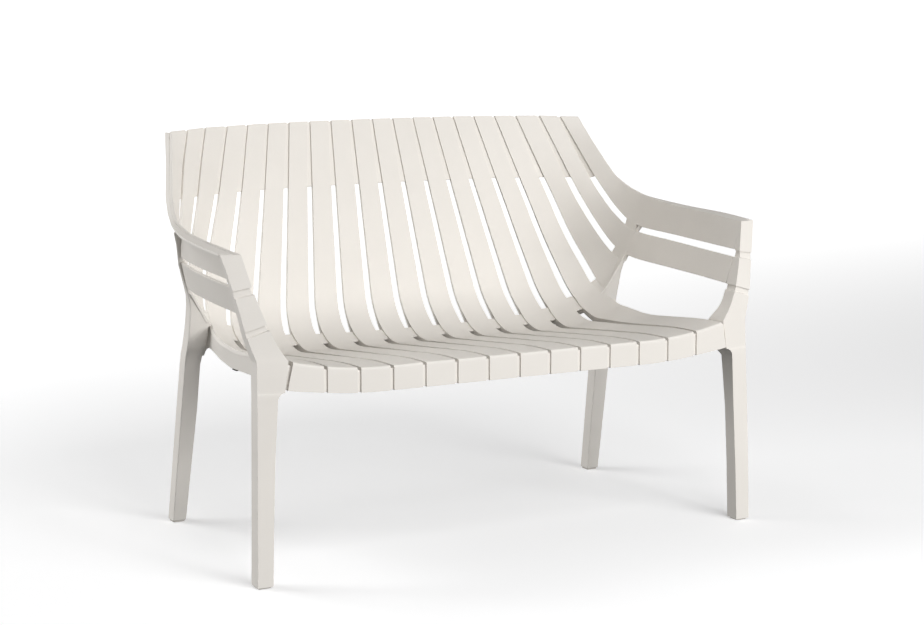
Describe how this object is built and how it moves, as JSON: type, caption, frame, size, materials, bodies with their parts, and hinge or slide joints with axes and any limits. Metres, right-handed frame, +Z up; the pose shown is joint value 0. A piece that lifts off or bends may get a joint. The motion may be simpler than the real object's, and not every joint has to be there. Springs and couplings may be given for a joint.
{
  "type": "garden bench",
  "caption": "Garden bench for two with a slatted seat that curves up into a slatted back, arms that flow out of the back, and four splayed legs.",
  "frame": {"origin": "on the ground, at the middle of the bench's width and of its depth", "axes": "+X to the sitter's left along the bench (the right side of a front view), +Y towards the back, +Z up"},
  "size_m": [1.1876, 0.6577, 0.813],
  "materials": {
    "shell": "fine matte grain, warm off-white",
    "glide": "matte",
    "bumper": "matte"
  },
  "bodies": {
    "root": {"slat_01": "shell", "slat_02": "shell", "slat_03": "shell", "slat_04": "shell", "slat_05": "shell", "slat_06": "shell", "slat_07": "shell", "slat_08": "shell", "slat_09": "shell", "slat_10": "shell", "slat_11": "shell", "slat_12": "shell", "slat_13": "shell", "slat_14": "shell", "slat_15": "shell", "slat_16": "shell", "slat_17": "shell", "slat_18": "shell", "slat_19": "shell", "slat_20": "shell", "back_webs": "shell", "bend_webs": "shell", "apron_webs": "shell", "front_rail": "shell", "bend_rail": "shell", "corner_webs_left": "shell", "corner_webs_right": "shell", "rim_left": "shell", "rim_right": "shell", "front_leg_left": "shell", "front_leg_right": "shell", "rear_leg_left": "shell", "rear_leg_right": "shell", "side_skirt_left": "shell", "side_skirt_right": "shell", "glide_front_left": "glide", "glide_front_right": "glide", "glide_rear_left": "glide", "glide_rear_right": "glide", "bumper_left": "bumper", "bumper_right": "bumper"}
  },
  "joints": []
}
